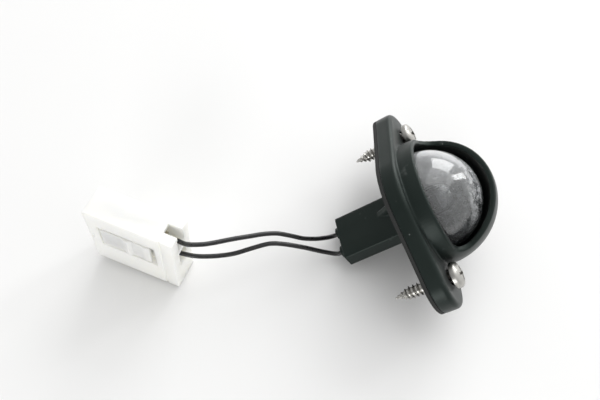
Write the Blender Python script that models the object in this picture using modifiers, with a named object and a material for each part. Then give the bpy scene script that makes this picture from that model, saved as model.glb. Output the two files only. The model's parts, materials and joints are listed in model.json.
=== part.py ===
"""A number-plate lamp for a car or trailer, lying on a table with its two-wire lead and connector.

The lamp's own drawing frame is the empty lamp_frame: x runs along the flange, y away from the
window, z out of the flange's front face. The connector's is connector_frame: x runs from its
mating end to its wire end, y through its thickness, z up its height.
Everything below is in millimetres until a mesh is made, which is where MM turns it into metres.
"""

import math

import bmesh
import bpy
from mathutils import Matrix, Vector

MM = 0.001
GAP = 0.3  # between pieces that touch

# Flange: the outline is a round middle with an ear at each end.
FLANGE_R = 20.0
EAR_R = 9.2
SCREW_X = 25.0  # half the distance between the screw holes
FRONT_ROUND = 1.5
WALL = 1.6
SKIRT_BOTTOM = -5.2
GASKET_TOP = -5.5
GASKET_BOTTOM = -6.4
SCREW_HOLE_R = 2.5

# Hood and the rim in front of the window.
HOOD_Z = 1.5  # height of the dome's centre over the front face
HOOD_OUT = (20.4, 18.2, 20.4)
HOOD_IN = (18.6, 16.3, 18.6)
RIM_TOP = 5.1
WINDOW_Y = -0.5
WINDOW_ROUND = 3.0

# Lens and what clamps it.
LENS_R = 16.0
LENS_WALL = 1.2
LENS_HOLE_R = LENS_R + GAP
LENS_FLANGE_R = 17.9
LENS_FLANGE_TOP = -1.9
LENS_FLANGE_BOTTOM = -2.8
SEAL_BOTTOM = -3.4
PLATE_TOP = -3.7

# Tail: the socket of the bulb, with a boss for each wire at its end.
TAIL_X = 0.7
TAIL_END = -29.5
TAIL_TOP_HALF = 7.1
TAIL_HALF = 8.5
TAIL_TOP = -3.8
TAIL_BOTTOM = 5.25
COLLAR_R = 7.75
COLLAR_END = -9.6
BOSS_R = 2.1
BOSS_END = -31.1
BOSS_Y = -0.4
POLE_X = 3.3  # each wire's distance from the middle of the tail

# Wedge-base bulb, 5 W.
BULB_R = 5.15
BULB_TIP = 10.0
BULB_SHOULDER = -7.4
GLASS_WALL = 0.7
WEDGE_HALF = (4.75, 1.05)
WEDGE_BOTTOM = -16.5
LEAD_R = 0.225
LEAD_X = 3.0
LEAF_IN = 2.1  # from the wedge's middle to a contact's leaf
LEAF = 0.4
CONTACT_HALF = 1.2
CONTACT_BASE = -18.6

# Pan-head screw, 4.2 mm.
HEAD_R = 4.0
HEAD_H = 2.7
HEAD_LIFT = 1.0
SHANK_CREST = 2.1
SHANK_ROOT = 1.5
THREAD_PITCH = 1.4
SCREW_LENGTH = 19.0

# Lead: two single wires to a two-pole connector for 6.3 mm terminals.
WIRE_R = 0.75
BOX_LENGTH = 29.3
BOX_THICK = 10.1
BOX_HEIGHT = 27.0
CAVITY = (4.0, 7.2)
CAVITY_Y = 5.2
CAVITY_Z = (13.7, 21.7)
CRIMP_END = 24.4

# The lamp lies on the flange's edge and the tail's end; lamp_frame's place puts both at Z = 0.
REST_ANGLE = math.atan2(FLANGE_R - TAIL_BOTTOM, GASKET_BOTTOM - TAIL_END)
LAMP_Y = 3.25
LAMP_Z = FLANGE_R * math.cos(REST_ANGLE) - GASKET_BOTTOM * math.sin(REST_ANGLE)
BOX_CORNER = (4.3, -77.25, 0.87)  # bottom corner of the wire end, on the side with the lock
BOX_ALONG = (0.543, 0.840, -0.058)  # from the mating end to the wire end
BOX_ACROSS = (-0.837, 0.542, -0.079)

ROUTE_UPPER = (
    (-2.60, -23.43, 3.74), (-2.58, -24.60, 3.25), (-2.35, -26.10, 3.45), (-2.00, -27.60, 4.20),
    (-1.40, -31.05, 6.10), (-1.20, -35.35, 8.60), (-1.80, -39.35, 11.00), (-2.40, -43.35, 13.00),
    (-2.30, -47.35, 14.50), (-1.70, -52.15, 16.00), (-1.00, -57.30, 17.60), (-0.06, -63.17, 19.30),
    (0.48, -66.87, 20.80), (0.10, -71.00, 21.90),
)
ROUTE_LOWER = (
    (4.00, -23.43, 3.74), (3.98, -24.60, 3.25), (3.70, -26.10, 3.35), (3.30, -27.75, 3.90),
    (2.80, -30.65, 5.40), (1.90, -35.95, 8.60), (0.70, -41.95, 11.00), (0.20, -45.85, 12.00),
    (0.35, -48.75, 12.25), (0.80, -52.85, 12.20), (1.25, -57.05, 12.00), (1.20, -61.05, 11.90),
    (1.06, -65.97, 12.90), (0.45, -70.10, 13.80),
)

SMOOTH = math.radians(35)


# ---------------------------------------------------------------- scene, materials, meshes


def clear_scene():
    for thing in list(bpy.data.objects):
        bpy.data.objects.remove(thing, do_unlink=True)


def new_collection(name):
    collection = bpy.data.collections.new(name)
    bpy.context.scene.collection.children.link(collection)
    return collection


def material(name, color, roughness, metallic=0.0, transmission=0.0):
    made = bpy.data.materials.new(name)
    made.use_nodes = True
    made.diffuse_color = (*color, 1.0)
    shader = made.node_tree.nodes["Principled BSDF"]
    shader.inputs["Base Color"].default_value = (*color, 1.0)
    shader.inputs["Roughness"].default_value = roughness
    shader.inputs["Metallic"].default_value = metallic
    shader.inputs["Transmission Weight"].default_value = transmission
    return made


def empty(name, matrix, parent=None):
    made = bpy.data.objects.new(name, None)
    PARTS.objects.link(made)
    made.parent = parent
    made.matrix_local = matrix
    return made


def add(name, mesh, parent, look=None, collection=None):
    """Links a mesh drawn in millimetres as an object under its frame."""
    mesh.transform(Matrix.Scale(MM, 4))
    made = bpy.data.objects.new(name, mesh)
    (collection or PARTS).objects.link(made)
    made.parent = parent
    if look:
        mesh.materials.append(look)
        mesh.shade_smooth()
        mesh.set_sharp_from_angle(angle=SMOOTH)
    return made


def as_mesh(name, bm):
    bmesh.ops.recalc_face_normals(bm, faces=bm.faces)
    mesh = bpy.data.meshes.new(name)
    bm.to_mesh(mesh)
    bm.free()
    return mesh


def block(name, low, high, bevel=0.0):
    """A box between two corners, with its edges bevelled."""
    bm = bmesh.new()
    size = [b - a for a, b in zip(low, high)]
    middle = [(a + b) / 2 for a, b in zip(low, high)]
    place = Matrix.Translation(middle) @ Matrix.Diagonal((*size, 1.0))
    bmesh.ops.create_cube(bm, size=1.0, matrix=place)
    if bevel:
        bmesh.ops.bevel(bm, geom=bm.edges[:], offset=bevel, segments=2, profile=0.5, affect="EDGES")
    return as_mesh(name, bm)


def rod(name, x, y, z_low, z_high, radius, sides=32, radius_high=None):
    """A cylinder or cone along z."""
    bm = bmesh.new()
    bmesh.ops.create_cone(
        bm,
        cap_ends=True,
        segments=sides,
        radius1=radius,
        radius2=radius if radius_high is None else radius_high,
        depth=z_high - z_low,
        matrix=Matrix.Translation((x, y, (z_low + z_high) / 2)),
    )
    return as_mesh(name, bm)


def dome(name, half_axes, z_cut):
    """An ellipsoid about the hood's centre, closed with a flat face where it is cut off below."""
    bm = bmesh.new()
    place = Matrix.Translation((0, 0, HOOD_Z)) @ Matrix.Diagonal((*half_axes, 1.0))
    bmesh.ops.create_uvsphere(bm, u_segments=40, v_segments=22, radius=1.0, matrix=place)
    whole = bm.verts[:] + bm.edges[:] + bm.faces[:]
    bmesh.ops.bisect_plane(bm, geom=whole, plane_co=(0, 0, z_cut), plane_no=(0, 0, 1), clear_inner=True)
    bmesh.ops.holes_fill(bm, edges=[edge for edge in bm.edges if edge.is_boundary])
    return as_mesh(name, bm)


def sheet(name, loops, z_low, z_high):
    """A flat outline with holes, drawn as a 2D curve and given its thickness."""
    curve = bpy.data.curves.new(name, "CURVE")
    curve.dimensions = "2D"
    curve.fill_mode = "BOTH"
    curve.extrude = (z_high - z_low) / 2
    for loop in loops:
        spline = curve.splines.new("POLY")
        spline.points.add(len(loop) - 1)
        for point, (x, y) in zip(spline.points, loop):
            point.co = (x, y, 0, 1)
        spline.use_cyclic_u = True
    return mesh_of_curve(name, curve, Matrix.Translation((0, 0, (z_low + z_high) / 2)))


def mesh_of_curve(name, curve, place):
    holder = bpy.data.objects.new(name, curve)
    bpy.context.scene.collection.objects.link(holder)
    graph = bpy.context.evaluated_depsgraph_get()
    mesh = bpy.data.meshes.new_from_object(holder.evaluated_get(graph))
    bpy.data.objects.remove(holder)
    bm = bmesh.new()
    bm.from_mesh(mesh)
    bmesh.ops.remove_doubles(bm, verts=bm.verts, dist=1e-4)
    bmesh.ops.transform(bm, matrix=place, verts=bm.verts)
    return as_mesh(name, bm)


def change(target, operation, mesh, parent):
    """Joins a shape to the target or cuts it away, with a live Boolean modifier."""
    helper = add(mesh.name, mesh, parent, collection=CUTTERS)
    helper.hide_render = True
    helper.display_type = "WIRE"
    boolean = target.modifiers.new(mesh.name, "BOOLEAN")
    boolean.operation = operation
    boolean.object = helper


def join(target, mesh, parent):
    change(target, "UNION", mesh, parent)


def cut(target, mesh, parent):
    change(target, "DIFFERENCE", mesh, parent)


def turned(name, profile, sides, parent, look):
    """A closed outline of (radius, z), drawn down its outer side, turned about z."""
    mesh = bpy.data.meshes.new(name)
    count = len(profile)
    edges = [(i, (i + 1) % count) for i in range(count)]
    mesh.from_pydata([(r, 0, z) for r, z in profile], edges, [])
    made = add(name, mesh, parent, look)
    screw = made.modifiers.new("turn", "SCREW")
    screw.steps = sides
    screw.render_steps = sides
    screw.use_merge_vertices = True
    screw.merge_threshold = 0.000005
    screw.use_smooth_shade = True
    return made


def tube(name, points, radius, parent, look):
    """A round wire through points in millimetres."""
    curve = bpy.data.curves.new(name, "CURVE")
    curve.dimensions = "3D"
    curve.bevel_depth = radius * MM
    curve.bevel_resolution = 2
    curve.use_fill_caps = True
    spline = curve.splines.new("POLY")
    spline.points.add(len(points) - 1)
    for point, place in zip(spline.points, points):
        point.co = (*(Vector(place) * MM), 1)
    curve.materials.append(look)
    made = bpy.data.objects.new(name, curve)
    PARTS.objects.link(made)
    made.parent = parent
    return made


# ---------------------------------------------------------------- outlines


def arc(x, y, radius, start, end, steps):
    angles = [start + (end - start) * i / steps for i in range(steps + 1)]
    return [(x + radius * math.cos(a), y + radius * math.sin(a)) for a in angles]


def circle(x, y, radius, sides=32):
    return arc(x, y, radius, 0, 2 * math.pi, sides)[:-1]


def flange_outline(inset=0.0):
    """The middle circle and the ears, with the straight lines that touch them."""
    middle = FLANGE_R - inset
    ear = EAR_R - inset
    touch = math.acos((middle - ear) / SCREW_X)
    return (
        arc(SCREW_X, 0, ear, -touch, touch, 12)
        + arc(0, 0, middle, touch, math.pi - touch, 20)
        + arc(-SCREW_X, 0, ear, math.pi - touch, math.pi + touch, 12)
        + arc(0, 0, middle, math.pi + touch, 2 * math.pi - touch, 20)
    )


def screw_holes():
    return [circle(side * SCREW_X, 0, SCREW_HOLE_R, 24) for side in (-1, 1)]


def smooth_route(route, spacing):
    """Points at an even spacing on a smooth curve through the route's points."""
    knots = [Vector(p) for p in route]
    knots = [2 * knots[0] - knots[1]] + knots + [2 * knots[-1] - knots[-2]]
    fine = []
    for a, b, c, d in zip(knots, knots[1:], knots[2:], knots[3:]):
        for step in range(12):
            t = step / 12
            bend = (2 * a - 5 * b + 4 * c - d) * t * t + (3 * b - a - 3 * c + d) * t ** 3
            fine.append(b + ((c - a) * t + bend) / 2)
    fine.append(knots[-2])
    lengths = [0.0]
    for before, after in zip(fine, fine[1:]):
        lengths.append(lengths[-1] + (after - before).length)
    count = round(lengths[-1] / spacing)
    points = []
    for i in range(count + 1):
        want = lengths[-1] * i / count
        at = min(max(j for j, length in enumerate(lengths) if length <= want + 1e-9), len(fine) - 2)
        share = (want - lengths[at]) / (lengths[at + 1] - lengths[at])
        points.append(fine[at].lerp(fine[at + 1], share))
    return points


# ---------------------------------------------------------------- lamp


def cover_housing(lamp, look):
    bm = bmesh.new()
    bm.from_mesh(sheet("cover_outline", [flange_outline()], SKIRT_BOTTOM, 0))
    front = [edge for edge in bm.edges if all(vert.co.z > -1e-4 for vert in edge.verts)]
    rim = [edge for edge in front if any(abs(face.normal.z) < 0.5 for face in edge.link_faces)]
    bmesh.ops.bevel(bm, geom=rim, offset=FRONT_ROUND, segments=4, profile=0.5, affect="EDGES")
    cover = add("cover_housing", as_mesh("cover_housing", bm), lamp, look)
    cut(cover, sheet("skirt_hollow", [flange_outline(WALL)], SKIRT_BOTTOM - 1, -WALL), lamp)
    for side in (-1, 1):
        boss = rod("ear_boss", side * SCREW_X, 0, PLATE_TOP + GAP, -WALL + 0.5, SCREW_HOLE_R + 1.2)
        join(cover, boss, lamp)
    join(cover, dome("hood_outside", HOOD_OUT, -WALL / 2), lamp)
    cut(cover, dome("hood_inside", HOOD_IN, 0.0), lamp)
    cut(cover, rod("lens_hole", 0, 0, -WALL - 2, 2, LENS_HOLE_R, 48), lamp)
    cut(cover, window(), lamp)
    for side in (-1, 1):
        cut(cover, rod("cover_screw_hole", side * SCREW_X, 0, -6, 3, SCREW_HOLE_R, 24), lamp)
    return cover


def window():
    """What is open in the hood: all in front of its middle and above the rim, with a round corner."""
    reach = 30.0
    corner = arc(WINDOW_Y - WINDOW_ROUND, RIM_TOP + WINDOW_ROUND, WINDOW_ROUND, -math.pi / 2, 0, 5)
    side = [(-reach, RIM_TOP)] + corner + [(WINDOW_Y, reach), (-reach, reach)]
    mesh = sheet("window", [side], -reach, reach)
    mesh.transform(Matrix(((0, 0, 1, 0), (1, 0, 0, 0), (0, 1, 0, 0), (0, 0, 0, 1))))
    return mesh


def dome_profile(radius):
    """(radius, z) down a dome about the hood's centre, from its top to its widest ring."""
    return [(radius * math.cos(a), HOOD_Z + radius * math.sin(a)) for a in [math.pi / 2] + quarter(9)]


def lens(lamp, look):
    outer = dome_profile(LENS_R)
    inner = dome_profile(LENS_R - LENS_WALL)
    flange = [
        (LENS_R, LENS_FLANGE_TOP),
        (LENS_FLANGE_R, LENS_FLANGE_TOP),
        (LENS_FLANGE_R, LENS_FLANGE_BOTTOM),
        (LENS_R - LENS_WALL, LENS_FLANGE_BOTTOM),
    ]
    profile = [(0, outer[0][1])] + outer[1:] + flange + inner[:0:-1] + [(0, inner[0][1])]
    return turned("lens", profile, 40, lamp, look)


def ring(name, r_in, r_out, z_low, z_high, parent, look, sides=48):
    profile = [(r_out, z_high), (r_out, z_low), (r_in, z_low), (r_in, z_high)]
    return turned(name, profile, sides, parent, look)


def tail_outline():
    """The tail's cross-section: widest at its middle, narrower at its top and its bottom."""
    rows = [(TAIL_TOP_HALF - 1, TAIL_TOP - 0.25), (TAIL_TOP_HALF, TAIL_TOP), (TAIL_HALF, 0)]
    rows += [(6.6, 3.2), (4.8, TAIL_BOTTOM)]
    left = [(TAIL_X - half, y) for half, y in rows]
    right = [(TAIL_X + half, y) for half, y in reversed(rows)]
    return left + right


def gusset():
    """The rib on top of the tail: a low nose that grows into the flange."""
    nose = -15.5
    root = PLATE_TOP - 1
    corners = [(x, TAIL_TOP + 0.6, nose) for x in (-2.2, 0.1)]
    corners += [(x, TAIL_TOP - 0.3, nose + 0.6) for x in (-1.9, -0.3)]
    corners += [(x, TAIL_TOP + 0.6, root) for x in (-4.4, 2.6)]
    corners += [(x, -9.8, root) for x in (-2.0, -0.2)]
    bm = bmesh.new()
    for corner in corners:
        bm.verts.new(corner)
    bmesh.ops.convex_hull(bm, input=bm.verts)
    return as_mesh("gusset", bm)


def base_housing(lamp, look):
    plate = sheet("base_housing", [flange_outline(WALL + GAP)] + screw_holes(), SKIRT_BOTTOM, PLATE_TOP)
    base = add("base_housing", plate, lamp, look)
    join(base, rod("collar", TAIL_X, 0, COLLAR_END, SKIRT_BOTTOM + 0.5, COLLAR_R, 40), lamp)
    join(base, sheet("tail", [tail_outline()], TAIL_END, SKIRT_BOTTOM + 0.4), lamp)
    join(base, gusset(), lamp)
    for pole in (-1, 1):
        x = TAIL_X + pole * POLE_X
        join(base, rod("boss", x, BOSS_Y, BOSS_END, TAIL_END + 1, BOSS_R, 24), lamp)
    bore = rod("bulb_bore", TAIL_X, 0, -8.9, 0, BULB_R + GAP, 40)
    cut(base, bore, lamp)
    slot = block("wedge_slot", (TAIL_X - 5.05, -1.35, WEDGE_BOTTOM - GAP), (TAIL_X + 5.05, 1.35, -8))
    cut(base, slot, lamp)
    for pole in (-1, 1):
        x = TAIL_X + pole * POLE_X
        half = CONTACT_HALF + GAP
        deep = LEAF_IN + LEAF + GAP
        floor = CONTACT_BASE - LEAF - GAP
        cut(base, block("contact_slot", (x - half, -deep, floor), (x + half, deep, -8)), lamp)
        cut(base, rod("wire_bore", x, BOSS_Y, BOSS_END - 1, floor + 1, 1.5, 24), lamp)
    return base


def gasket(lamp, look):
    loops = [flange_outline(), circle(TAIL_X, 0, COLLAR_R + GAP, 40)] + screw_holes()
    made = add("mounting_gasket", sheet("mounting_gasket", loops, GASKET_BOTTOM, GASKET_TOP), lamp, look)
    cut(made, block("gusset_room", (-4.9, -10.5, -8), (3.2, 0, -4)), lamp)
    cut(made, block("tail_room", (TAIL_X - 8.8, -4.35, -8), (TAIL_X + 8.8, 5.55, -4)), lamp)
    return made


def bulb_glass(bulb, look):
    bottom = -8.2
    capsule = (
        [(0, BULB_TIP)]
        + [(BULB_R * math.cos(a), BULB_TIP - BULB_R + BULB_R * math.sin(a)) for a in quarter(6)]
        + [(BULB_R, BULB_SHOULDER), (BULB_R - 0.8, bottom), (0, bottom)]
    )
    glass = turned("bulb_glass", capsule, 24, bulb, look)
    wide, thick = WEDGE_HALF
    join(glass, block("wedge", (-wide, -thick, WEDGE_BOTTOM), (wide, thick, bottom + 0.6)), bulb)
    hollow_r = BULB_R - GLASS_WALL
    top = BULB_TIP - BULB_R
    hollow = [rod("hollow", 0, 0, BULB_SHOULDER + 0.2, top, hollow_r, 24)]
    bm = bmesh.new()
    place = Matrix.Translation((0, 0, top - 0.01))
    bmesh.ops.create_uvsphere(bm, u_segments=24, v_segments=12, radius=hollow_r, matrix=place)
    hollow.append(as_mesh("hollow_tip", bm))
    for side in (-1, 1):
        hollow.append(rod("lead_hole", side * LEAD_X, 0, WEDGE_BOTTOM - 1, BULB_SHOULDER + 1, 0.5, 16))
    for mesh in hollow:
        cut(glass, mesh, bulb)
    return glass


def quarter(steps):
    """Angles from just below straight up to level, for a turned dome."""
    return [math.pi / 2 * (1 - (i + 1) / steps) for i in range(steps)]


def bulb_inside(bulb, wire, tungsten):
    for side, name in ((-1, "bulb_lead_left"), (1, "bulb_lead_right")):
        face = side * (WEDGE_HALF[1] + GAP + LEAD_R)
        turn = WEDGE_BOTTOM - 0.55
        x = side * LEAD_X
        points = [(side * 2.1, 0, 2.0), (side * 2.2, 0, 0.0), (side * 2.6, 0, -4.0), (x, 0, -7.4)]
        points += [(x, 0, WEDGE_BOTTOM - 0.1)]
        points += [(x, face * 0.22, turn + 0.05), (x, face * 0.55, turn - 0.08), (x, face * 0.85, turn + 0.1)]
        points += [(x, face, turn + 0.5), (x, face, -12.2)]
        tube(name, points, LEAD_R, bulb, wire)
    turns, coil_r, half = 7, 0.45, 1.55
    steps = turns * 8
    helix = []
    for i in range(steps + 1):
        angle = 2 * math.pi * turns * i / steps
        along = -half + 2 * half * i / steps
        helix.append((along, coil_r * math.sin(angle), 2.0 + coil_r * math.cos(angle)))
    tube("bulb_filament", helix, 0.1, bulb, tungsten)


def contact(name, x, lamp, look):
    """A clip whose two leaves stand on either side of the wedge, with a tail to its wire."""
    out = LEAF_IN + LEAF
    low = CONTACT_BASE - LEAF
    top = -10.8
    tail = (BOSS_Y - LEAF / 2, BOSS_Y + LEAF / 2)
    side = [
        (tail[0], -23.8), (tail[1], -23.8), (tail[1], low), (out, low), (out, top), (LEAF_IN, top),
        (LEAF_IN, CONTACT_BASE), (-LEAF_IN, CONTACT_BASE), (-LEAF_IN, top), (-out, top), (-out, low),
        (tail[0], low),
    ]
    mesh = sheet(name, [side], -CONTACT_HALF, CONTACT_HALF)
    upright = Matrix(((0, 0, 1, x), (1, 0, 0, 0), (0, 1, 0, 0), (0, 0, 0, 1)))
    mesh.transform(upright)
    return add(name, mesh, lamp, look)


def wire_seal(name, x, lamp, look):
    """A rubber plug in the boss, with a bead at its mouth."""
    low, high = BOSS_END, -24.1
    profile = [(0, high), (1.1, high), (1.25, high - 0.3), (1.25, low), (0, low)]
    made = turned(name, profile, 24, lamp, look)
    made.location = Vector((x, BOSS_Y, 0)) * MM
    return made


def screw_radius(depth, angle):
    """The thread's surface: a rounded crest that winds round a root that narrows to the tip."""
    turn = (depth / THREAD_PITCH + angle / (2 * math.pi)) % 1.0
    crest = max(0.0, 1 - abs(turn - 0.5) / 0.32)
    taper = min(1.0, (SCREW_LENGTH - depth) / 4.5)
    start = min(1.0, max(0.0, (depth - 0.4) / 0.8))
    root = SHANK_ROOT * (0.12 + 0.88 * taper)
    return root + (SHANK_CREST - SHANK_ROOT) * crest * start * (0.25 + 0.75 * taper)


def screw(name, side, lamp, look):
    """A pan-head tapping screw, its thread lofted from one ring of points to the next."""
    frame = empty(name + "_frame", Matrix.Translation(Vector((side * SCREW_X, 0, HEAD_LIFT)) * MM), lamp)
    sides, per_turn = 12, 6
    rings = round(SCREW_LENGTH / THREAD_PITCH * per_turn)
    bm = bmesh.new()
    rows = []
    for i in range(rings + 1):
        depth = SCREW_LENGTH * i / rings
        row = []
        for j in range(sides):
            angle = 2 * math.pi * j / sides
            radius = screw_radius(depth, angle)
            z = 0.6 if i == 0 else -depth
            row.append(bm.verts.new((radius * math.cos(angle), radius * math.sin(angle), z)))
        rows.append(row)
    for above, below in zip(rows, rows[1:]):
        for j in range(sides):
            k = (j + 1) % sides
            bm.faces.new((above[j], above[k], below[k], below[j]))
    bm.faces.new(rows[0][::-1])
    bm.faces.new(rows[-1])
    shank = as_mesh(name, bm)
    made = add(name, shank, frame, look)
    join(made, screw_head(), frame)
    for turn in range(2):
        arm = block("drive_arm", (-2.2, -0.45, HEAD_H - 1.5), (2.2, 0.45, HEAD_H + 1))
        arm.transform(Matrix.Rotation(turn * math.pi / 2 + 0.4, 4, "Z"))
        cut(made, arm, frame)
    return made


def screw_head():
    """The pan: a flat underside, a short wall and a domed top, turned from stacked cones."""
    bm = bmesh.new()
    bmesh.ops.create_uvsphere(bm, u_segments=24, v_segments=12, radius=HEAD_R)
    bmesh.ops.bisect_plane(
        bm, geom=bm.verts[:] + bm.edges[:] + bm.faces[:], plane_co=(0, 0, 0), plane_no=(0, 0, 1), clear_inner=True
    )
    bmesh.ops.holes_fill(bm, edges=[edge for edge in bm.edges if edge.is_boundary])
    mesh = as_mesh("screw_head", bm)
    mesh.transform(Matrix.Diagonal((1, 1, HEAD_H / HEAD_R, 1)))
    for vert in mesh.vertices:
        if vert.co.z > 0:
            flat = 1 - (vert.co.xy.length / HEAD_R) ** 4
            vert.co.z = HEAD_H * max(0.35, flat ** 0.6) if vert.co.xy.length < HEAD_R * 0.995 else 0.5
    return mesh


# ---------------------------------------------------------------- lead


def connector_housing(box, look):
    body = block("connector_housing", (-BOX_LENGTH, 0, 0), (0, BOX_THICK, BOX_HEIGHT), bevel=0.6)
    made = add("connector_housing", body, box, look)
    deep, tall = CAVITY
    for z in CAVITY_Z:
        low = (-BOX_LENGTH - 1, CAVITY_Y - deep / 2, z - tall / 2)
        high = (1, CAVITY_Y + deep / 2, z + tall / 2)
        cut(made, block("cavity", low, high), box)
    cut(made, block("wire_notch", (-4.6, CAVITY_Y - 1.6, 24), (1, CAVITY_Y + 1.6, BOX_HEIGHT + 1)), box)
    cut(made, block("key_slot", (-BOX_LENGTH - 1, 2.6, 2.2), (-BOX_LENGTH + 14, 7.6, 6.0)), box)
    cut(made, lock_room(), box)
    cut(made, block("mate_step", (-BOX_LENGTH - 1, -1, 12.5), (-BOX_LENGTH + 1.2, 11, 14.0)), box)
    return made


def lock_room():
    """The recess for the lock, deeper towards the wire end."""
    side = [(-BOX_LENGTH + 3.6, -1), (-BOX_LENGTH + 3.6, 0.9), (-6.5, 2.6), (-6.5, -1)]
    return sheet("lock_room", [side], 10.0, 20.6)


def lock_lever(box, look):
    """The sprung lever with its catch, hinged at the recess's shallow end."""
    pivot = Vector((-BOX_LENGTH + 5.2, 0.45, 15.3))
    frame = empty("lock_pivot", Matrix.Translation(pivot * MM), box)
    catch = [(9.6, -0.3), (8.6, -1.15), (6.4, -0.3)]
    side = [(-0.9, -0.4)] + catch[::-1] + [(13.0, -0.3), (14.0, -0.7), (15.8, -0.45), (15.6, 0.7), (-0.9, 0.2)]
    return add("connector_lock", sheet("connector_lock", [side], -4.2, 4.2), frame, look)


def terminal(name, z, box, look):
    """A receptacle for a 6.3 mm tab, with the barrel that grips its wire."""
    front = -BOX_LENGTH + 3.0
    body = block(name, (front, CAVITY_Y - 1.25, z - 3.2), (front + 8.5, CAVITY_Y + 1.25, z + 3.2), bevel=0.2)
    made = add(name, body, box, look)
    neck = block("neck", (front + 8, CAVITY_Y - 0.9, z - 1.5), (-BOX_LENGTH + CRIMP_END - 5.5, CAVITY_Y + 0.2, z + 1.5))
    join(made, neck, box)
    barrel = rod("barrel", 0, 0, -6.5, 0, 1.45, 20)
    barrel.transform(Matrix.Rotation(math.pi / 2, 4, "Y"))
    barrel.transform(Matrix.Translation((-BOX_LENGTH + CRIMP_END, CAVITY_Y, z)))
    join(made, barrel, box)
    cut(made, block("tab_slot", (front - 1, CAVITY_Y - 0.55, z - 2.7), (front + 7.6, CAVITY_Y + 0.35, z + 2.7)), box)
    return made


def wire(name, route, pole_z, look):
    """A wire from its boss to the barrel of its terminal."""
    ends = [BOX @ Vector((-BOX_LENGTH + CRIMP_END + out, CAVITY_Y, pole_z)) for out in (3.4, GAP)]
    return tube(name, smooth_route(list(route) + ends, 2.9), WIRE_R, None, look)


def connector_matrix():
    """The connector's place: its own axes and the corner it stands on, in millimetres."""
    along = Vector(BOX_ALONG).normalized()
    up = along.cross(Vector(BOX_ACROSS)).normalized()
    across = up.cross(along)
    place = Matrix((along, across, up)).transposed().to_4x4()
    place.translation = Vector(BOX_CORNER)
    return place


clear_scene()
PARTS = new_collection("number_plate_lamp")
CUTTERS = new_collection("cutters")
BOX = connector_matrix()

black = material("black_nylon", (0.012, 0.014, 0.013), 0.42)
rubber = material("black_rubber", (0.015, 0.015, 0.015), 0.75)
clear = material("clear_lens", (0.85, 0.87, 0.88), 0.12, transmission=0.9)
glass = material("bulb_glass", (0.92, 0.94, 0.95), 0.03, transmission=1.0)
nickel = material("nickel_plate", (0.62, 0.61, 0.59), 0.28, metallic=1.0)
brass = material("tinned_brass", (0.63, 0.58, 0.44), 0.35, metallic=1.0)
tungsten = material("tungsten", (0.22, 0.22, 0.23), 0.5, metallic=1.0)
milky = material("natural_nylon", (0.86, 0.85, 0.78), 0.45)
insulation = material("wire_insulation", (0.01, 0.01, 0.01), 0.35)

tilt = Matrix.Rotation(REST_ANGLE - math.pi / 2, 4, "X")
lamp_frame = empty("lamp_frame", Matrix.Translation(Vector((0, LAMP_Y, LAMP_Z)) * MM) @ tilt)
bulb_frame = empty("bulb_frame", Matrix.Translation(Vector((TAIL_X, 0, 0)) * MM), lamp_frame)
box_matrix = BOX.copy()
box_matrix.translation = BOX.translation * MM
connector_frame = empty("connector_frame", box_matrix)

cover_housing(lamp_frame, black)
lens(lamp_frame, clear)
ring("lens_seal", 16.3, LENS_FLANGE_R, SEAL_BOTTOM, LENS_FLANGE_BOTTOM - GAP, lamp_frame, rubber)
base_housing(lamp_frame, black)
gasket(lamp_frame, rubber)
bulb_glass(bulb_frame, glass)
bulb_inside(bulb_frame, nickel, tungsten)
contact("socket_contact_left", TAIL_X - POLE_X, lamp_frame, brass)
contact("socket_contact_right", TAIL_X + POLE_X, lamp_frame, brass)
wire_seal("wire_seal_left", TAIL_X - POLE_X, lamp_frame, rubber)
wire_seal("wire_seal_right", TAIL_X + POLE_X, lamp_frame, rubber)
screw("screw_left", -1, lamp_frame, nickel)
screw("screw_right", 1, lamp_frame, nickel)
connector_housing(connector_frame, milky)
lock_lever(connector_frame, milky)
terminal("connector_terminal_lower", CAVITY_Z[0], connector_frame, brass)
terminal("connector_terminal_upper", CAVITY_Z[1], connector_frame, brass)
wire("wire_upper", ROUTE_UPPER, CAVITY_Z[1], insulation)
wire("wire_lower", ROUTE_LOWER, CAVITY_Z[0], insulation)
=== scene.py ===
"""The looks of the number-plate lamp and its lead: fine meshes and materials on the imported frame.

Shapes of the lamp are drawn in its own frame in millimetres (x along the flange, y away from the
window, z out of its front face) and those of the connector in the connector's frame; both frames
come from the record's mounts and joints.
"""

import json
import math

import bmesh
import bpy
from mathutils import Matrix, Vector


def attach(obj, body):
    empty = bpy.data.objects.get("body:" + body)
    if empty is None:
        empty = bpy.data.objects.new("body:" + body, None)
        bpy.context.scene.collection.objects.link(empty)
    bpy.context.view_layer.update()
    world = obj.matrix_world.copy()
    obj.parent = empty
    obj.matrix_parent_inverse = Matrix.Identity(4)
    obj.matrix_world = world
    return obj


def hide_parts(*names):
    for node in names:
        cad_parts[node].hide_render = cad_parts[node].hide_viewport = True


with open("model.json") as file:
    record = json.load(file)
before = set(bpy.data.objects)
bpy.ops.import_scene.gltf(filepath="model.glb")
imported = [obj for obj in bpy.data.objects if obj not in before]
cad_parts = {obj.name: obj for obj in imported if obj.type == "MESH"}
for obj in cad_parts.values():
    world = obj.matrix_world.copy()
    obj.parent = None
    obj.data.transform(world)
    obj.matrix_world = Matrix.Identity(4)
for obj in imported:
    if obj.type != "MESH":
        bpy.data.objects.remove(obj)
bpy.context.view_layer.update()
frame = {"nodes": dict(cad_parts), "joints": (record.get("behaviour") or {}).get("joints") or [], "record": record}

MM = 0.001
JOINTS = {joint["name"]: joint for joint in frame["joints"]}
MOUNTS = {mount["name"]: mount for mount in frame["record"]["mounts"]}

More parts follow.
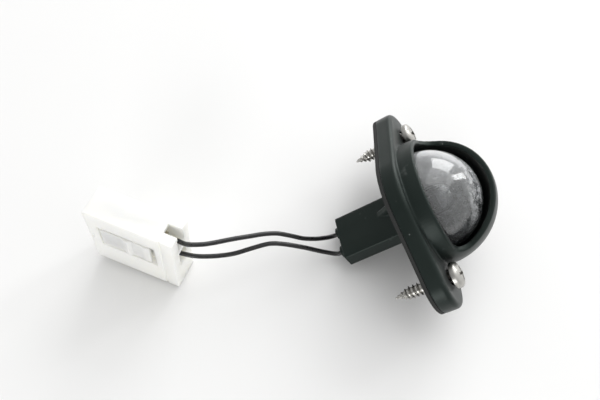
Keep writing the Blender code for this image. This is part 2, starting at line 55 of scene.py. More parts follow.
# Lamp
FLANGE_R, EAR_R, SCREW_X = 20.0, 9.2, 25.0
WALL, GAP = 1.6, 0.3
SKIRT_BOTTOM, GASKET_TOP, GASKET_BOTTOM, PLATE_TOP = -5.2, -5.5, -6.4, -3.7
HOOD_Z = 1.5
HOOD_OUT, HOOD_IN = (20.35, 18.15, 20.35), (18.6, 16.3, 18.6)
RIM_TOP, WINDOW_Y, WINDOW_ROUND = 5.1, -0.5, 4.5
LENS_R, LENS_WALL, LENS_FLANGE_R = 16.0, 1.2, 17.9
TAIL_X, TAIL_END, TAIL_TOP, TAIL_BOTTOM = 0.7, -29.5, -3.8, 5.25
POLE_X, BOSS_Y, BOSS_R, BOSS_END = 3.3, -0.4, 2.1, -31.1
MOUNT_X = 14.0  # the panel mount's place along the flange
HEAD_LIFT, HEAD_R, HEAD_H = 1.0, 4.0, 2.7
SCREW_LENGTH, THREAD_PITCH, ROOT_R, CREST_R = 19.0, 1.4, 1.5, 2.1
SCREW_HOLE_R, COLLAR_R, COLLAR_END, BULB_BORE_R, WIRE_BORE_R = 2.5, 7.75, -9.6, 5.45, 1.5
SEAM = 0.25  # how far the gasket reaches up past its CAD top, to close the dark line over it

# Lead
WIRE_D = 0.0015
BOX = (29.3, 10.1, 27.0)
CAVITY_Y, CAVITY_Z, CAVITY = 5.2, (13.7, 21.7), (4.0, 7.2)
CRIMP_END = 24.4
MATE_MOUNT = (-29.3, 5.0, 8.0)  # the mating mount in the connector's frame

ROUTE_UPPER = (
    (-0.00260, -0.02343, 0.00374), (-0.00258, -0.02460, 0.00325), (-0.00235, -0.02610, 0.00345),
    (-0.00200, -0.02760, 0.00420), (-0.00140, -0.03105, 0.00610), (-0.00120, -0.03535, 0.00860),
    (-0.00180, -0.03935, 0.01100), (-0.00240, -0.04335, 0.01300), (-0.00230, -0.04735, 0.01450),
    (-0.00170, -0.05215, 0.01600), (-0.00100, -0.05730, 0.01760), (-0.00006, -0.06317, 0.01930),
    (0.00048, -0.06687, 0.02080), (0.00010, -0.07100, 0.02190),
)
ROUTE_LOWER = (
    (0.00400, -0.02343, 0.00374), (0.00398, -0.02460, 0.00325), (0.00370, -0.02610, 0.00335),
    (0.00330, -0.02775, 0.00390), (0.00280, -0.03065, 0.00540), (0.00190, -0.03595, 0.00860),
    (0.00070, -0.04195, 0.01100), (0.00020, -0.04585, 0.01200), (0.00035, -0.04875, 0.01225),
    (0.00080, -0.05285, 0.01220), (0.00125, -0.05705, 0.01200), (0.00120, -0.06105, 0.01190),
    (0.00106, -0.06597, 0.01290), (0.00045, -0.07010, 0.01380),
)

# Camera
CAMERA_AT = (0.08429, -0.05248, 0.19128)
CAMERA_FORWARD = (-0.47660, 0.09055, -0.87444)
CAMERA_ROLL = math.radians(-0.52)
CAMERA_LENS = 37.57


def frame_matrix(x, y, z, origin):
    place = Matrix((x, y, z)).transposed().to_4x4()
    place.translation = origin
    return place @ Matrix.Scale(MM, 4)


def lamp_matrix():
    out = Vector(JOINTS["cover_lift"]["axis"])
    along = Vector((1, 0, 0))
    panel = Vector(MOUNTS["panel_face"]["pos_m"])
    origin = panel - along * MOUNT_X * MM - out * GASKET_BOTTOM * MM
    return frame_matrix(along, out.cross(along), out, origin)


def box_matrix():
    along = -Vector(MOUNTS["connector_mating_face"]["axis"])
    up = Vector(JOINTS["lock_press"]["axis"])
    across = up.cross(along)
    face = Vector(MOUNTS["connector_mating_face"]["pos_m"])
    x, y, z = MATE_MOUNT
    return frame_matrix(along, across, up, face - (along * x + across * y + up * z) * MM)


LAMP = lamp_matrix()
CONNECTOR = box_matrix()


# ---------------------------------------------------------------- camera and cords


def camera():
    data = bpy.data.cameras.new("camera")
    data.lens = CAMERA_LENS
    data.clip_start = 0.005
    made = bpy.data.objects.new("camera", data)
    bpy.context.scene.collection.objects.link(made)
    turn = Vector(CAMERA_FORWARD).to_track_quat("-Z", "Y").to_matrix().to_4x4()
    made.matrix_world = Matrix.Translation(CAMERA_AT) @ turn @ Matrix.Rotation(CAMERA_ROLL, 4, "Z")
    bpy.context.scene.camera = made


def smooth_route(route, steps=8):
    """Points on a smooth curve through the route's points."""
    knots = [Vector(p) for p in route]
    knots = [2 * knots[0] - knots[1]] + knots + [2 * knots[-1] - knots[-2]]
    points = []
    for a, b, c, d in zip(knots, knots[1:], knots[2:], knots[3:]):
        for step in range(steps):
            t = step / steps
            bend = (2 * a - 5 * b + 4 * c - d) * t * t + (3 * b - a - 3 * c + d) * t ** 3
            points.append(b + ((c - a) * t + bend) / 2)
    return points + [knots[-2]]


def wire(name, route, pole_z, look):
    """A wire from its boss to its terminal's barrel; returns it with its length."""
    ends = [CONNECTOR @ Vector((-BOX[0] + CRIMP_END + out, CAVITY_Y, pole_z)) for out in (3.4, GAP)]
    points = smooth_route(list(route) + ends)
    curve = bpy.data.curves.new(name, "CURVE")
    curve.dimensions = "3D"
    curve.bevel_depth = WIRE_D / 2
    curve.bevel_resolution = 5
    curve.use_fill_caps = True
    spline = curve.splines.new("POLY")
    spline.points.add(len(points) - 1)
    for point, place in zip(spline.points, points):
        point.co = (*place, 1)
    spline.use_smooth = True
    made = bpy.data.objects.new(name, curve)
    bpy.context.scene.collection.objects.link(made)
    curve.materials.append(look)
    length = sum((b - a).length for a, b in zip(points, points[1:]))
    return made, points[0], length


# ---------------------------------------------------------------- materials


def shader_of(name, color, roughness, metallic=0.0, **settings):
    made = bpy.data.materials.new(name)
    made.use_nodes = True
    made.diffuse_color = (*color, 1)
    shader = made.node_tree.nodes["Principled BSDF"]
    shader.inputs["Base Color"].default_value = (*color, 1)
    shader.inputs["Roughness"].default_value = roughness
    shader.inputs["Metallic"].default_value = metallic
    for key, value in settings.items():
        shader.inputs[key.replace("_", " ")].default_value = value
    return made, made.node_tree.nodes, made.node_tree.links, shader


def noise(nodes, links, scale, detail=4.0, stretch=None):
    place = nodes.new("ShaderNodeTexCoord")
    source = place.outputs["Object"]
    if stretch:
        mapping = nodes.new("ShaderNodeMapping")
        mapping.inputs["Scale"].default_value = stretch
        links.new(source, mapping.inputs["Vector"])
        source = mapping.outputs["Vector"]
    made = nodes.new("ShaderNodeTexNoise")
    made.inputs["Scale"].default_value = scale
    made.inputs["Detail"].default_value = detail
    links.new(source, made.inputs["Vector"])
    return made.outputs["Fac"]


def remap(nodes, links, value, low, high, to_low, to_high):
    made = nodes.new("ShaderNodeMapRange")
    for key, number in (("From Min", low), ("From Max", high), ("To Min", to_low), ("To Max", to_high)):
        made.inputs[key].default_value = number
    links.new(value, made.inputs["Value"])
    return made.outputs["Result"]


def calculate(nodes, links, operation, first, second):
    made = nodes.new("ShaderNodeMath")
    made.operation = operation
    made.use_clamp = True
    for slot_in, value in zip(made.inputs, (first, second)):
        if isinstance(value, (int, float)):
            slot_in.default_value = value
        else:
            links.new(value, slot_in)
    return made.outputs["Value"]


def mix_colors(nodes, links, factor, first, second):
    made = nodes.new("ShaderNodeMix")
    made.data_type = "RGBA"
    links.new(factor, made.inputs["Factor"])
    for slot_in, value in ((made.inputs[6], first), (made.inputs[7], second)):
        if isinstance(value, tuple):
            slot_in.default_value = (*value, 1)
        else:
            links.new(value, slot_in)
    return made.outputs[2]


def bump(nodes, links, shader, height, distance, strength=1.0):
    made = nodes.new("ShaderNodeBump")
    made.inputs["Distance"].default_value = distance
    made.inputs["Strength"].default_value = strength
    links.new(height, made.inputs["Height"])
    links.new(made.outputs["Normal"], shader.inputs["Normal"])


def specks(nodes, links, cells, size, share):
    """A mask of small dots: Voronoi cells' middles, kept in a share of the cells."""
    place = nodes.new("ShaderNodeTexCoord")
    made = nodes.new("ShaderNodeTexVoronoi")
    made.inputs["Scale"].default_value = cells
    links.new(place.outputs["Object"], made.inputs["Vector"])
    dot = remap(nodes, links, made.outputs["Distance"], size * 0.6, size, 1.0, 0.0)
    split = nodes.new("ShaderNodeSeparateColor")
    links.new(made.outputs["Color"], split.inputs["Color"])
    kept = calculate(nodes, links, "LESS_THAN", split.outputs["Red"], share)
    return calculate(nodes, links, "MULTIPLY", dot, kept)


def black_nylon():
    """Moulded glass-filled nylon: satin, a fine grain, faint flow marks, dust."""
    made, nodes, links, shader = shader_of(
        "black_nylon", (0.006, 0.011, 0.009), 0.42, Specular_IOR_Level=0.31,
        Specular_Tint=(0.88, 1.0, 0.95, 1), Sheen_Weight=0.12, Sheen_Roughness=0.4
    )
    flow = noise(nodes, links, 130, 5)
    grain = noise(nodes, links, 2600, 2)
    plain = mix_colors(nodes, links, flow, (0.0012, 0.0048, 0.0036), (0.0058, 0.0108, 0.009))
    dust = specks(nodes, links, 420, 0.12, 0.14)
    scuffs = remap(nodes, links, noise(nodes, links, 260, 6), 0.66, 0.78, 0.0, 0.35)
    marks = calculate(nodes, links, "ADD", dust, scuffs)
    links.new(mix_colors(nodes, links, marks, plain, (0.13, 0.14, 0.135)), shader.inputs["Base Color"])
    worn = calculate(nodes, links, "ADD", remap(nodes, links, flow, 0.3, 0.7, 0.34, 0.46), scuffs)
    links.new(worn, shader.inputs["Roughness"])
    bump(nodes, links, shader, grain, 0.00002, 0.5)
    return made


def gasket_rubber():
    made, nodes, links, shader = shader_of("black_rubber", (0.014, 0.015, 0.015), 0.8)
    grain = noise(nodes, links, 1400, 4)
    color = mix_colors(nodes, links, grain, (0.008, 0.009, 0.009), (0.03, 0.031, 0.03))
    links.new(color, shader.inputs["Base Color"])
    links.new(remap(nodes, links, grain, 0.3, 0.7, 0.72, 0.9), shader.inputs["Roughness"])
    bump(nodes, links, shader, grain, 0.00006, 0.6)
    return made


def lens_plastic():
    """Clear acrylic under a film of dust with bright grains, and a painted haze of light: the film is made thicker
    towards -X, the side the lights come from.
    """
    made, nodes, links, shader = shader_of(
        "clear_lens", (0.9, 0.92, 0.93), 0.06, IOR=1.49, Specular_IOR_Level=0.2,
        Coat_Weight=0.5, Coat_Roughness=0.035
    )
    place = nodes.new("ShaderNodeTexCoord")
    split = nodes.new("ShaderNodeSeparateXYZ")
    links.new(place.outputs["Object"], split.inputs["Vector"])
    # Painted haze of light: the dust film grows lighter and thicker towards -X, the side the key and window lights
    # come from.
    upper = remap(nodes, links, split.outputs["X"], -0.014, 0.004, 1.0, 0.02)
    cloud = remap(nodes, links, noise(nodes, links, 110, 3), 0.35, 0.68, 0.3, 1.0)
    fine = remap(nodes, links, noise(nodes, links, 2200, 3), 0.35, 0.7, 0.62, 1.0)
    dust_and_lit_haze = calculate(nodes, links, "MULTIPLY", calculate(nodes, links, "MULTIPLY", upper, cloud), fine)
    dust_and_lit_haze = calculate(nodes, links, "MULTIPLY", dust_and_lit_haze, 0.66)
    # Coarse grains have caught where the dome meets the hood, at its highest Y.
    rim = remap(nodes, links, split.outputs["Y"], 0.0108, 0.0165, 0.0, 1.0)
    crust = calculate(nodes, links, "ADD", specks(nodes, links, 1400, 0.38, 0.6),
                      remap(nodes, links, noise(nodes, links, 420, 4), 0.47, 0.62, 0.0, 0.6))
    dust_and_lit_haze = calculate(nodes, links, "ADD", dust_and_lit_haze, calculate(nodes, links, "MULTIPLY", rim, crust))
    grains = calculate(nodes, links, "MULTIPLY", specks(nodes, links, 1300, 0.24, 0.2), 0.38)
    # dust holds the grains and the film, along with the film's painted haze of light.
    dust = calculate(nodes, links, "ADD", dust_and_lit_haze, grains)
    color = mix_colors(nodes, links, dust, (0.9, 0.92, 0.93), (0.62, 0.63, 0.64))
    links.new(color, shader.inputs["Base Color"])
    links.new(remap(nodes, links, dust, 0, 1, 0.97, 0.0), shader.inputs["Transmission Weight"])
    links.new(remap(nodes, links, dust, 0, 1, 0.05, 0.35), shader.inputs["Roughness"])
    return made


def bulb_clear():
    made, nodes, links, shader = shader_of(
        "bulb_glass", (0.96, 0.97, 0.98), 0.02, IOR=1.5, Transmission_Weight=1.0
    )
    streak = noise(nodes, links, 300, 2, stretch=(1, 1, 0.2))
    links.new(remap(nodes, links, streak, 0.3, 0.7, 0.01, 0.05), shader.inputs["Roughness"])
    return made


def plated(name, color, roughness, scratch_scale):
    """Bright plating with fine drawing marks and dull patches."""
    made, nodes, links, shader = shader_of(name, color, roughness, 1.0)
    patch = noise(nodes, links, 500, 4)
    marks = noise(nodes, links, scratch_scale, 3, stretch=(1, 1, 0.15))
    dull = tuple(c * 0.66 for c in color)
    links.new(mix_colors(nodes, links, patch, color, dull), shader.inputs["Base Color"])
    worn = remap(nodes, links, patch, 0.3, 0.7, roughness - 0.08, roughness + 0.14)
    links.new(worn, shader.inputs["Roughness"])
    bump(nodes, links, shader, marks, 0.00001, 0.4)
    return made


def natural_nylon():
    """Unpigmented nylon: milky, lit through, faintly yellow, with a moulded satin skin."""
    made, nodes, links, shader = shader_of(
        "natural_nylon", (0.93, 0.925, 0.88), 0.42, IOR=1.53, Subsurface_Weight=0.6, Subsurface_Scale=0.005
    )
    shader.inputs["Subsurface Radius"].default_value = (1.0, 0.96, 0.85)
    cloud = noise(nodes, links, 160, 4)
    grain = noise(nodes, links, 1800, 2)
    color = mix_colors(nodes, links, cloud, (0.95, 0.945, 0.90), (0.91, 0.90, 0.845))
    links.new(color, shader.inputs["Base Color"])
    links.new(remap(nodes, links, cloud, 0.3, 0.7, 0.36, 0.5), shader.inputs["Roughness"])
    bump(nodes, links, shader, grain, 0.00002, 0.35)
    return made


def insulation():
    made, nodes, links, shader = shader_of("wire_insulation", (0.006, 0.006, 0.0065), 0.3)
    soft = noise(nodes, links, 700, 4)
    dust = remap(nodes, links, noise(nodes, links, 2200, 3), 0.62, 0.75, 0.0, 0.5)
    color = mix_colors(nodes, links, dust, (0.006, 0.006, 0.0065), (0.08, 0.08, 0.08))
    links.new(color, shader.inputs["Base Color"])
    links.new(remap(nodes, links, soft, 0.3, 0.7, 0.22, 0.42), shader.inputs["Roughness"])
    bump(nodes, links, shader, soft, 0.00003, 0.3)
    return made


def table_top():
    made, nodes, links, shader = shader_of("table_top", (0.83, 0.83, 0.825), 0.45)
    links.new(remap(nodes, links, noise(nodes, links, 20, 3), 0.3, 0.7, 0.4, 0.5), shader.inputs["Roughness"])
    return made


# ---------------------------------------------------------------- mesh helpers, in millimetres


def arc(x, y, radius, start, end, steps):
    angles = [start + (end - start) * i / steps for i in range(steps + 1)]
    return [(x + radius * math.cos(a), y + radius * math.sin(a)) for a in angles]


def flange_outline(inset=0.0):
    """The middle circle and the ears, with the straight lines that touch them."""
    middle = FLANGE_R - inset
    ear = EAR_R - inset
    touch = math.acos((middle - ear) / SCREW_X)
    return (
        arc(SCREW_X, 0, ear, -touch, touch, 32)
        + arc(0, 0, middle, touch, math.pi - touch, 40)
        + arc(-SCREW_X, 0, ear, math.pi - touch, math.pi + touch, 32)
        + arc(0, 0, middle, math.pi + touch, 2 * math.pi - touch, 40)
    )


def mesh_from(bm):
    bmesh.ops.recalc_face_normals(bm, faces=bm.faces)
    mesh = bpy.data.meshes.new("shape")
    bm.to_mesh(mesh)
    bm.free()
    return mesh


def prism(outline, z_low, z_high, front_round=0.0, segments=6):
    """An outline given thickness along z, with its upper edge rounded."""
    bm = bmesh.new()
    bottom = bm.faces.new([bm.verts.new((x, y, z_low)) for x, y in outline])
    grown = bmesh.ops.extrude_face_region(bm, geom=[bottom])["geom"]
    top_verts = [v for v in grown if isinstance(v, bmesh.types.BMVert)]
    bmesh.ops.translate(bm, verts=top_verts, vec=(0, 0, z_high - z_low))
    if front_round:
        top = [e for e in bm.edges if all(abs(v.co.z - z_high) < 1e-4 for v in e.verts)]
        bmesh.ops.bevel(bm, geom=top, offset=front_round, segments=segments, profile=0.5, affect="EDGES")
    return mesh_from(bm)


def block(low, high):
    bm = bmesh.new()
    size = [b - a for a, b in zip(low, high)]
    middle = [(a + b) / 2 for a, b in zip(low, high)]
    bmesh.ops.create_cube(bm, size=1.0, matrix=Matrix.Translation(middle) @ Matrix.Diagonal((*size, 1.0)))
    return mesh_from(bm)


def rod(x, y, z_low, z_high, radius, radius_high=None, sides=64):
    bm = bmesh.new()
    high = radius if radius_high is None else radius_high
    place = Matrix.Translation((x, y, (z_low + z_high) / 2))
    depth = z_high - z_low
    bmesh.ops.create_cone(
        bm, cap_ends=True, segments=sides, radius1=radius, radius2=high, depth=depth, matrix=place
    )
    return mesh_from(bm)


def dome(half_axes, z_cut):
    bm = bmesh.new()
    place = Matrix.Translation((0, 0, HOOD_Z)) @ Matrix.Diagonal((*half_axes, 1.0))
    bmesh.ops.create_uvsphere(bm, u_segments=112, v_segments=72, radius=1.0, matrix=place)
    whole = bm.verts[:] + bm.edges[:] + bm.faces[:]
    bmesh.ops.bisect_plane(bm, geom=whole, plane_co=(0, 0, z_cut), plane_no=(0, 0, 1), clear_inner=True)
    bmesh.ops.holes_fill(bm, edges=[edge for edge in bm.edges if edge.is_boundary])
    return mesh_from(bm)


def turned(profile, sides=96):
    """A closed outline of (radius, z) turned about z."""
    bm = bmesh.new()
    count = len(profile)
    verts = [bm.verts.new((r, 0, z)) for r, z in profile]
    edges = [bm.edges.new((verts[i], verts[(i + 1) % count])) for i in range(count)]
    geom = verts + edges
    bmesh.ops.spin(
        bm, geom=geom, cent=(0, 0, 0), axis=(0, 0, 1), angle=2 * math.pi, steps=sides, use_merge=True
    )
    bmesh.ops.remove_doubles(bm, verts=bm.verts, dist=1e-4)
    return mesh_from(bm)


def built(name, base, steps, voxel=0.0, smoothing=0, bevel=0.0, place=LAMP):
    """Joins and cuts shapes, then remeshes and smooths them or bevels their edges, as one object."""
    scene = bpy.context.scene.collection
    made = bpy.data.objects.new(name, base)
    scene.objects.link(made)
    helpers = []
    for operation, mesh in steps:
        helper = bpy.data.objects.new(name + "_tool", mesh)
        scene.objects.link(helper)
        helpers.append(helper)
        boolean = made.modifiers.new("shape", "BOOLEAN")
        boolean.operation = operation
        boolean.object = helper
    if voxel:
        remesh = made.modifiers.new("remesh", "REMESH")
        remesh.mode = "VOXEL"
        remesh.voxel_size = voxel
        remesh.use_smooth_shade = True
    if smoothing:
        smooth = made.modifiers.new("smooth", "SMOOTH")
        smooth.factor = 0.5
        smooth.iterations = smoothing
    if bevel:
        round_off = made.modifiers.new("bevel", "BEVEL")
        round_off.width = bevel
        round_off.segments = 3
        round_off.limit_method = "ANGLE"
        round_off.angle_limit = math.radians(40)
    graph = bpy.context.evaluated_depsgraph_get()
    mesh = bpy.data.meshes.new_from_object(made.evaluated_get(graph))
    made.modifiers.clear()
    mesh.transform(place)
    made.data = mesh
    mesh.name = name
    mesh.shade_smooth()
    if not voxel:
        mesh.set_sharp_from_angle(angle=math.radians(35))
    for helper in helpers:
        bpy.data.objects.remove(helper)
    return made


def dress(piece, body, slot, look, *nodes):
    """Gives a piece its material and its body, and hides the CAD nodes that it stands for; the slot argument is
    not used.
    """
    piece.data.materials.clear()
    piece.data.materials.append(look)
    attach(piece, body)
    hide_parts(*nodes)
    return piece


def keep(node, look, angle=40):
    """A CAD node that stays, with its material and smooth shading."""
    mesh = frame["nodes"][node].data
    mesh.materials.clear()
    mesh.materials.append(look)
    mesh.shade_smooth()
    mesh.set_sharp_from_angle(angle=math.radians(angle))
    return frame["nodes"][node]


# ---------------------------------------------------------------- lamp pieces


def screw_holes(z_low, z_high):
    holes = [rod(side * SCREW_X, 0, z_low, z_high, SCREW_HOLE_R) for side in (-1, 1)]
    return [("DIFFERENCE", hole) for hole in holes]


def window():
    reach = 30.0
    corner = arc(WINDOW_Y - WINDOW_ROUND, RIM_TOP + WINDOW_ROUND, WINDOW_ROUND, -math.pi / 2, 0, 12)
    mesh = prism([(-reach, RIM_TOP)] + corner + [(WINDOW_Y, reach), (-reach, reach)], -reach, reach)
    mesh.transform(Matrix(((0, 0, 1, 0), (1, 0, 0, 0), (0, 1, 0, 0), (0, 0, 0, 1))))
    return mesh


def cover():
    steps = [("DIFFERENCE", prism(flange_outline(WALL), SKIRT_BOTTOM - 1, -WALL))]
    steps += [("UNION", rod(side * SCREW_X, 0, PLATE_TOP + GAP, -WALL + 0.5, 3.7)) for side in (-1, 1)]
    steps += [
        ("UNION", dome(HOOD_OUT, -WALL / 2)),
        ("DIFFERENCE", dome(HOOD_IN, 0.0)),
        ("DIFFERENCE", rod(0, 0, -WALL - 2, 2, LENS_R + GAP)),
        ("DIFFERENCE", window()),
    ]
    steps += screw_holes(-6, 3)
    return built("cover", prism(flange_outline(), SKIRT_BOTTOM, 0, 1.5), steps, voxel=0.27, smoothing=6)


def tail_outline():
    left = [(-6.4, TAIL_TOP - 0.22), (-7.1, TAIL_TOP), (-8.5, 0), (-6.6, 3.2), (-4.8, TAIL_BOTTOM)]
    right = [(-x, y) for x, y in reversed(left)]
    crown = [(3.0, TAIL_TOP - 0.38), (-3.0, TAIL_TOP - 0.38)]
    return [(TAIL_X + x, y) for x, y in left + right + crown]


def gusset():
    """The rib on top of the tail: a low nose that grows into the flange."""
    nose, root = -15.5, PLATE_TOP - 1
    corners = [(x, TAIL_TOP + 0.6, nose) for x in (-2.2, 0.1)]
    corners += [(x, TAIL_TOP - 0.3, nose + 0.6) for x in (-1.9, -0.3)]
    corners += [(x, TAIL_TOP + 0.6, root) for x in (-4.4, 2.6)]
    corners += [(x, -9.8, root) for x in (-2.0, -0.2)]
    bm = bmesh.new()
    for corner in corners:
        bm.verts.new(corner)
    bmesh.ops.convex_hull(bm, input=bm.verts)
    return mesh_from(bm)


def base():
    steps = [
        ("UNION", rod(TAIL_X, 0, COLLAR_END, SKIRT_BOTTOM + 0.5, COLLAR_R)),
        ("UNION", prism(tail_outline(), TAIL_END, SKIRT_BOTTOM + 0.4)),
        ("UNION", gusset()),
    ]
    poles = [TAIL_X + side * POLE_X for side in (-1, 1)]
    steps += [("UNION", rod(x, BOSS_Y, BOSS_END, TAIL_END + 1, BOSS_R)) for x in poles]
    steps += [
        ("DIFFERENCE", rod(TAIL_X, 0, -8.9, 0, BULB_BORE_R)),
        ("DIFFERENCE", block((TAIL_X - 5.05, -1.35, -16.8), (TAIL_X + 5.05, 1.35, -8))),
    ]
    for x in poles:
        steps.append(("DIFFERENCE", block((x - 1.5, -2.8, -19.3), (x + 1.5, 2.8, -8))))
        steps.append(("DIFFERENCE", rod(x, BOSS_Y, BOSS_END - 1, -18.3, WIRE_BORE_R)))
    steps += screw_holes(-8, 0)
    plate = prism(flange_outline(WALL + GAP), SKIRT_BOTTOM, PLATE_TOP)
    return built("base", plate, steps, voxel=0.22, smoothing=3)


def gasket():
    steps = [("DIFFERENCE", rod(TAIL_X, 0, -9, -4, COLLAR_R + GAP))]
    steps += screw_holes(-8, 0)
    steps += [
        ("DIFFERENCE", block((-4.9, -10.5, -8), (3.2, 0, -4))),
        ("DIFFERENCE", block((TAIL_X - 8.8, -4.35, -8), (TAIL_X + 8.8, 5.55, -4))),
    ]
    return built("gasket", prism(flange_outline(0.06), GASKET_BOTTOM, GASKET_TOP + SEAM), steps, bevel=0.12)


def quarter(steps):
    return [math.pi / 2 * (1 - i / steps) for i in range(steps + 1)]


def lens():
    outer = [(LENS_R * math.cos(a), HOOD_Z + LENS_R * math.sin(a)) for a in quarter(28)]
    inner_r = LENS_R - LENS_WALL
    inner = [(inner_r * math.cos(a), HOOD_Z + inner_r * math.sin(a)) for a in quarter(28)]
    foot = [(LENS_R, -1.6), (LENS_R + 0.3, -1.9), (LENS_FLANGE_R - 0.1, -1.9), (LENS_FLANGE_R, -2.0)]
    foot += [(LENS_FLANGE_R, -2.7), (LENS_FLANGE_R - 0.1, -2.8), (inner_r, -2.8)]
    return built("lens_shell", turned(outer + foot + inner[::-1]), [])


def screw_radius(depth, angle):
    """The thread's surface: a sharp crest that winds round a root that narrows to the tip."""
    turn = (depth / THREAD_PITCH + angle / (2 * math.pi)) % 1.0
    crest = max(0.0, 1 - abs(turn - 0.5) / 0.3)
    taper = min(1.0, (SCREW_LENGTH - depth) / 4.5)
    start = min(1.0, max(0.0, (depth - 0.4) / 0.8))
    root = ROOT_R * (0.1 + 0.9 * taper)
    return root + (CREST_R - ROOT_R) * crest * start * (0.25 + 0.75 * taper)


def screw_shank():
    sides, per_turn = 48, 14
    rings = round(SCREW_LENGTH / THREAD_PITCH * per_turn)
    bm = bmesh.new()
    rows = []
    for i in range(rings + 1):
        depth = SCREW_LENGTH * i / rings
        z = 0.6 if i == 0 else -depth
        row = []
        for j in range(sides):
            angle = 2 * math.pi * j / sides
            radius = screw_radius(depth, angle)
            row.append(bm.verts.new((radius * math.cos(angle), radius * math.sin(angle), z)))
        rows.append(row)
    for above, below in zip(rows, rows[1:]):
        for j in range(sides):
            k = (j + 1) % sides
            bm.faces.new((above[j], above[k], below[k], below[j]))
    bm.faces.new(rows[0][::-1])
    bm.faces.new(rows[-1])
    return mesh_from(bm)


def screw_head():
    """The pan: flat underneath, a short round wall, a low crown."""
    wall = [(HEAD_R - 0.15, 0), (HEAD_R, 0.15), (HEAD_R, 0.95)]
    crown = [(HEAD_R * math.sin(a), 0.95 + (HEAD_H - 0.95) * math.cos(a) ** 0.75) for a in quarter(18)[1:-1]]
    return turned([(0, HEAD_H)] + crown[::-1] + wall[::-1] + [(0, 0)], 72)


def screw(name, side):
    arms = []
    for turn in range(2):
        arm = block((-2.1, -0.42, HEAD_H - 1.5), (2.1, 0.42, HEAD_H + 1))
        arm.transform(Matrix.Rotation(turn * math.pi / 2 + 0.4, 4, "Z"))
        arms.append(("DIFFERENCE", arm))
    hollow = rod(0, 0, HEAD_H - 1.9, HEAD_H + 0.2, 0.5, 1.15, 32)
    steps = [("UNION", screw_head())] + arms + [("DIFFERENCE", hollow)]
    place = LAMP @ Matrix.Translation((side * SCREW_X, 0, HEAD_LIFT))
    return built(name, screw_shank(), steps, place=place)


# ---------------------------------------------------------------- connector pieces


def connector_shell():
    length, thick, tall = BOX
    steps = []
    for z in CAVITY_Z:
        low = (-length - 1, CAVITY_Y - CAVITY[0] / 2, z - CAVITY[1] / 2)
        steps.append(("DIFFERENCE", block(low, (1, CAVITY_Y + CAVITY[0] / 2, z + CAVITY[1] / 2))))
    steps.append(("DIFFERENCE", block((-4.6, CAVITY_Y - 1.6, 24), (1, CAVITY_Y + 1.6, tall + 1))))
    steps.append(("DIFFERENCE", block((-length - 1, 2.6, 2.2), (-length + 14, 7.6, 6.0))))
    recess = prism([(-length + 3.6, -1), (-length + 3.6, 0.9), (-6.5, 2.6), (-6.5, -1)], 10.0, 20.6)
    steps.append(("DIFFERENCE", recess))
    steps.append(("DIFFERENCE", block((-length - 1, -1, 12.5), (-length + 1.2, 11, 14.0))))
    for side_y in (0, thick):
        groove = rod(0, 0, -0.5, tall + 0.5, 0.35, sides=16)
        groove.transform(Matrix.Translation((-4.2, side_y, 0)))
        steps.append(("DIFFERENCE", groove))
    body = block((-length, 0, 0), (0, thick, tall))
    return built("connector_shell", body, steps, bevel=0.62, place=CONNECTOR)


def lock_arm():
    catch = [(9.6, -0.3), (8.6, -1.15), (6.4, -0.3)]
    tip = [(13.0, -0.3), (14.0, -0.7), (15.8, -0.45), (15.6, 0.7), (-0.9, 0.2)]
    side = [(-0.9, -0.4)] + catch[::-1] + tip
    place = CONNECTOR @ Matrix.Translation((-BOX[0] + 5.2, 0.45, 15.3))
    return built("lock_arm", prism(side, -4.2, 4.2), [], bevel=0.12, place=place)


# ---------------------------------------------------------------- stage


def floor(look):
    bm = bmesh.new()
    bmesh.ops.create_grid(bm, x_segments=1, y_segments=1, size=3.0)
    made = bpy.data.objects.new("table", mesh_from(bm))
    bpy.context.scene.collection.objects.link(made)
    made.data.materials.append(look)


def panel(name, azimuth, elevation, distance, size, power, aim=(0.0, 0.0, 0.01)):
    """An area light in a direction given from +Y towards +X, facing the lamp."""
    data = bpy.data.lights.new(name, "AREA")
    data.shape = "RECTANGLE"
    data.size, data.size_y = size
    data.energy = power
    a, e = math.radians(azimuth), math.radians(elevation)
    way = Vector((math.sin(a) * math.cos(e), math.cos(a) * math.cos(e), math.sin(e)))
    made = bpy.data.objects.new(name, data)
    bpy.context.scene.collection.objects.link(made)
    made.location = Vector(aim) + way * distance
    made.rotation_mode = "QUATERNION"
    made.rotation_quaternion = way.to_track_quat("Z", "Y")


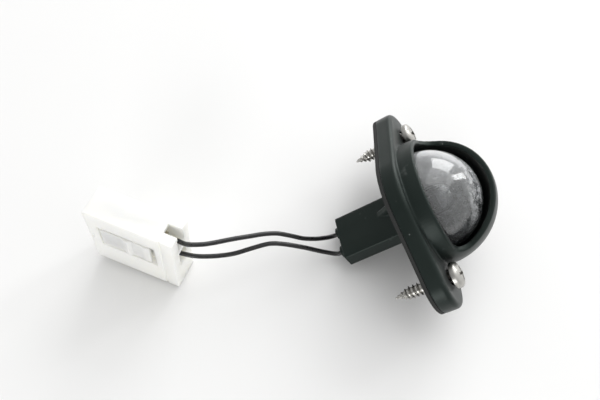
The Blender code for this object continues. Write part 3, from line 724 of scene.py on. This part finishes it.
def light():
    world = bpy.data.worlds.new("studio")
    bpy.context.scene.world = world
    world.use_nodes = True
    back = world.node_tree.nodes["Background"]
    back.inputs["Color"].default_value = (1, 1, 1, 1)
    # The room is bright on the windows' side and dim on the opposite one.
    nodes, links = world.node_tree.nodes, world.node_tree.links
    place = nodes.new("ShaderNodeTexCoord")
    toward = nodes.new("ShaderNodeVectorMath")
    toward.operation = "DOT_PRODUCT"
    toward.inputs[1].default_value = (-0.4, 0.8, 0.45)
    links.new(place.outputs["Generated"], toward.inputs[0])
    links.new(remap(nodes, links, toward.outputs["Value"], -1.0, 1.0, 0.27, 1.0), back.inputs["Strength"])
    panel("key", -50, 62, 2.0, (1.8, 1.8), 9.4)
    panel("window_left", -58, 26, 2.0, (1.05, 1.1), 15)
    panel("window_right", -24, 26, 2.0, (0.35, 1.1), 6.2)
    panel("fill", 112, 14, 1.8, (0.8, 0.8), 10, aim=(-0.005, -0.09, 0.015))
    bpy.context.scene.view_settings.view_transform = "Standard"


# ---------------------------------------------------------------- all together


camera()
nylon = natural_nylon()
jacket = insulation()
brass = plated("tinned_brass", (0.63, 0.58, 0.44), 0.32, 1500)
upper, upper_exit, upper_length = wire("upper_wire", ROUTE_UPPER, CAVITY_Z[1], jacket)
lower, lower_exit, lower_length = wire("lower_wire", ROUTE_LOWER, CAVITY_Z[0], jacket)
for piece, node in ((upper, "wire_upper"), (lower, "wire_lower")):
    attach(piece, "base")
    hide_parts(node)
shell = dress(connector_shell(), "base", "natural_nylon", nylon, "connector_housing")
arm = dress(lock_arm(), "lock", "natural_nylon", nylon, "connector_lock")
upper_terminal = keep("connector_terminal_upper", brass)
lower_terminal = keep("connector_terminal_lower", brass)

black = black_nylon()
rubber = gasket_rubber()
nickel = plated("nickel_plate", (0.56, 0.55, 0.52), 0.3, 1200)
dress(cover(), "cover", "black_nylon", black, "cover_housing")
dress(base(), "base", "black_nylon", black, "base_housing")
dress(gasket(), "base", "black_rubber", rubber, "mounting_gasket")
dress(lens(), "cover", "clear_lens", lens_plastic(), "lens")
dress(screw("left_screw", -1), "screw_left", "nickel_plate", nickel, "screw_left")
dress(screw("right_screw", 1), "screw_right", "nickel_plate", nickel, "screw_right")
keep("bulb_glass", bulb_clear())
keep("bulb_filament", plated("tungsten", (0.22, 0.22, 0.23), 0.5, 3000))
for node in ("bulb_lead_left", "bulb_lead_right"):
    keep(node, nickel)
for node in ("socket_contact_left", "socket_contact_right"):
    keep(node, brass)
for node in ("lens_seal", "wire_seal_left", "wire_seal_right"):
    keep(node, rubber)

floor(table_top())
light()
